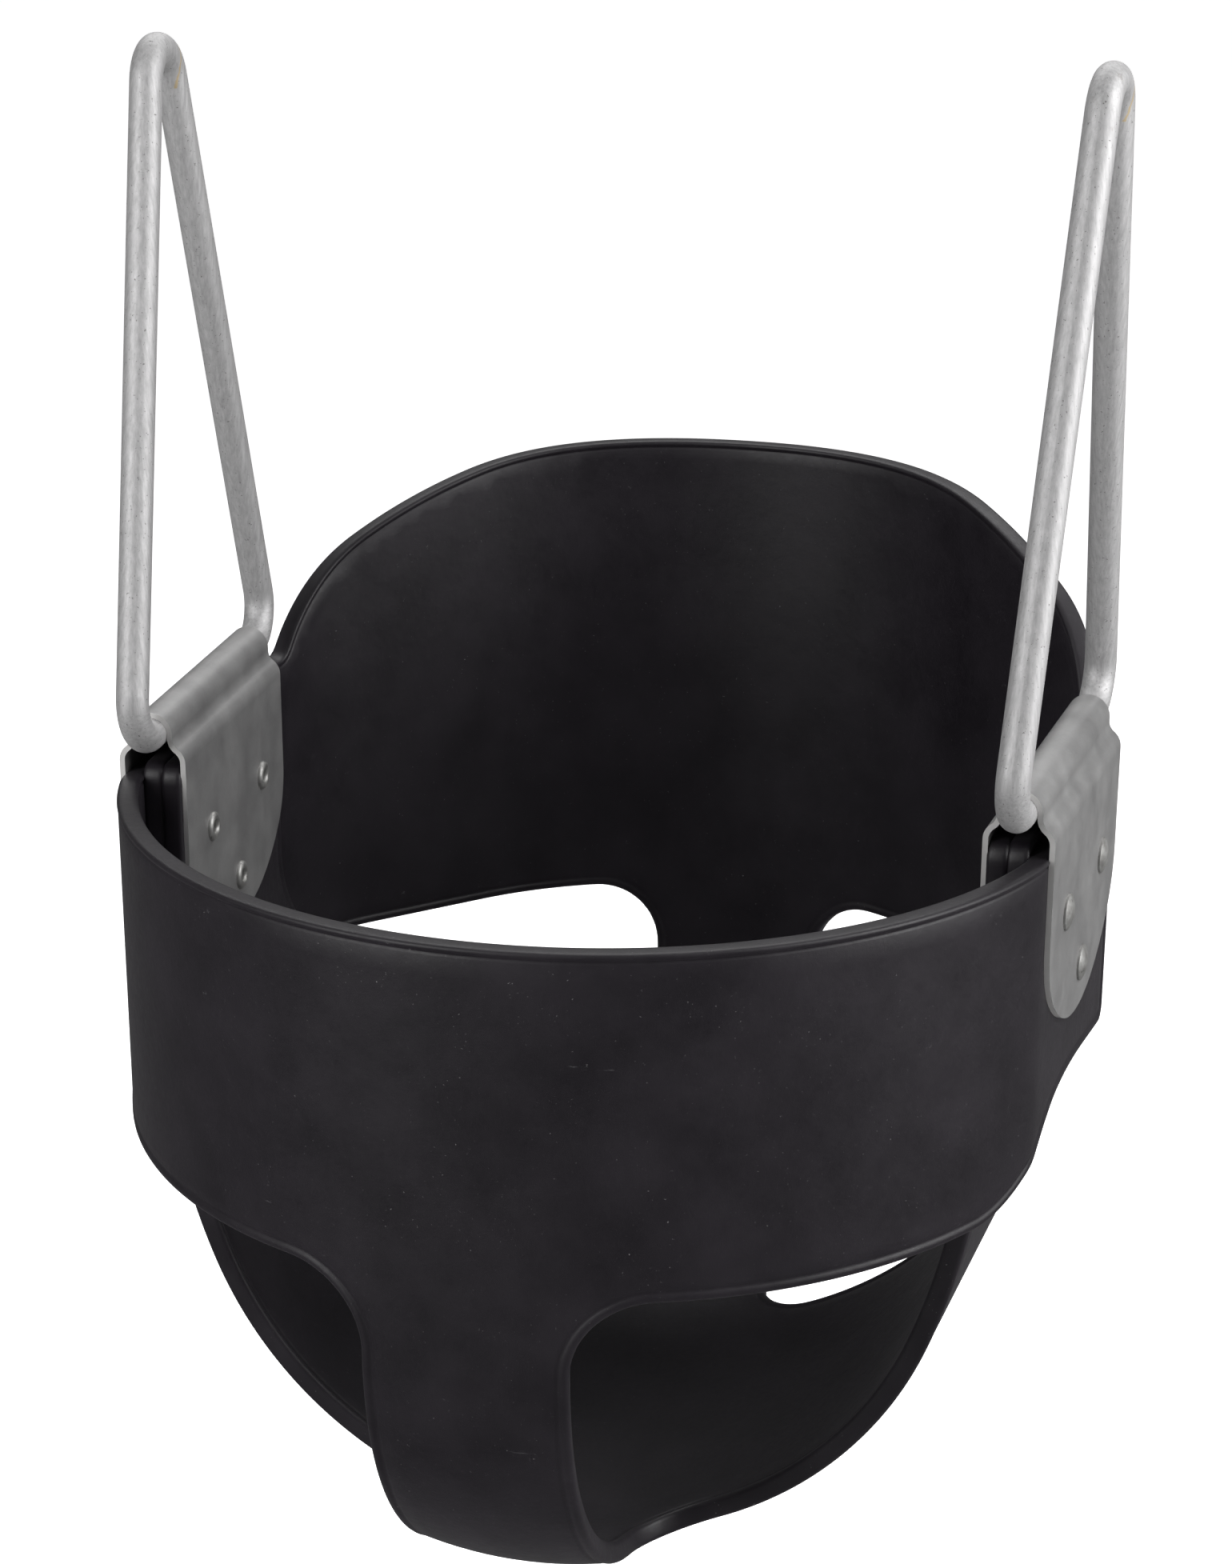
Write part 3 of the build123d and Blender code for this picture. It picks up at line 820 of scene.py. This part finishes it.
def direction(turn, lift):
    """Unit vector that points turn round from the front towards the right, and lift above level."""
    level = math.cos(lift)
    return Vector((math.sin(turn) * level, -math.cos(turn) * level, math.sin(lift)))


def make_camera():
    data = bpy.data.cameras.new("camera")
    data.lens, data.sensor_width = LENS, SENSOR
    data.shift_x, data.shift_y = SHIFT
    data.clip_start, data.clip_end = CLIP_NEAR, CLIP_FAR
    camera = bpy.data.objects.new("camera", data)
    bpy.context.scene.collection.objects.link(camera)
    back = direction(AZIMUTH, ELEVATION)
    right = Vector((math.cos(AZIMUTH), math.sin(AZIMUTH), 0))
    up = back.cross(right)
    camera.matrix_world = Matrix((right, up, back)).transposed().to_4x4()
    camera.location = Vector((0, 0, PIVOT.z)) + back * DISTANCE + right * ASIDE + up * ABOVE
    bpy.context.scene.camera = camera


def soft_light(name, place, target, size, power):
    data = bpy.data.lights.new(name, "AREA")
    data.shape = "RECTANGLE"
    data.size, data.size_y = size
    data.energy = power
    light = bpy.data.objects.new(name, data)
    bpy.context.scene.collection.objects.link(light)
    light.location = place
    light.rotation_mode = "QUATERNION"
    light.rotation_quaternion = (Vector(target) - Vector(place)).to_track_quat("-Z", "Y")


def make_studio():
    low, high = cad_box
    centre = (low + high) / 2
    mesh = bpy.data.meshes.new("floor")
    drop = low.z - FLOOR_DROP
    square = ((-1, -1), (1, -1), (1, 1), (-1, 1))
    corners = [(x * FLOOR_REACH, y * FLOOR_REACH, drop) for x, y in square]
    mesh.from_pydata(corners, [], [(0, 1, 2, 3)])
    floor = bpy.data.objects.new("floor", mesh)
    bpy.context.scene.collection.objects.link(floor)
    floor.data.materials.append(floor_material())
    floor.visible_glossy = False
    make_world()
    sun = bpy.data.lights.new("overhead", "SUN")
    sun.energy, sun.angle = SUN_POWER, math.radians(SUN_WIDTH_DEG)
    overhead = bpy.data.objects.new("overhead", sun)
    bpy.context.scene.collection.objects.link(overhead)
    overhead.rotation_euler = (*map(math.radians, SUN_TILT_DEG), 0)
    for name, aside, above, reach, size, power in BOXES:
        way = direction(AZIMUTH + math.radians(aside), math.radians(above))
        soft_light(name, centre + reach * way, centre, size, power)


def make_world():
    """White behind the object, and a dimmer room for it to stand in."""
    world = bpy.data.worlds.new("studio")
    bpy.context.scene.world = world
    world.use_nodes = True
    tree = world.node_tree
    backdrop = tree.nodes["Background"]
    backdrop.inputs[1].default_value = 1.0
    backdrop.inputs[0].default_value = (1, 1, 1, 1)
    room = tree.nodes.new("ShaderNodeBackground")
    room.inputs[0].default_value = (1, 1, 1, 1)
    room.inputs[1].default_value = ROOM_LIGHT
    ray = tree.nodes.new("ShaderNodeLightPath")
    both = tree.nodes.new("ShaderNodeMixShader")
    tree.links.new(ray.outputs["Is Camera Ray"], both.inputs[0])
    tree.links.new(room.outputs[0], both.inputs[1])
    tree.links.new(backdrop.outputs[0], both.inputs[2])
    tree.links.new(both.outputs[0], tree.nodes["World Output"].inputs[0])


make_camera()
make_moulding().data.materials.append(rubber())
for side in ("right", "left"):
    wear(f"{side}_hanger", hanger_galvanised(f"{side}_hanger", f"hanger_galvanised_{side}"))
ZINC, RIVET, SPRING = bracket_zinc(), rivet_steel(), spring_steel()
for name in frame["nodes"]:
    if name.endswith("_bracket"):
        wear(name, ZINC)
    elif "_rivet_" in name:
        wear(name, RIVET)
    elif name.endswith("_insert"):
        wear(name, SPRING)
make_studio()
bpy.context.scene.view_settings.view_transform = "Standard"
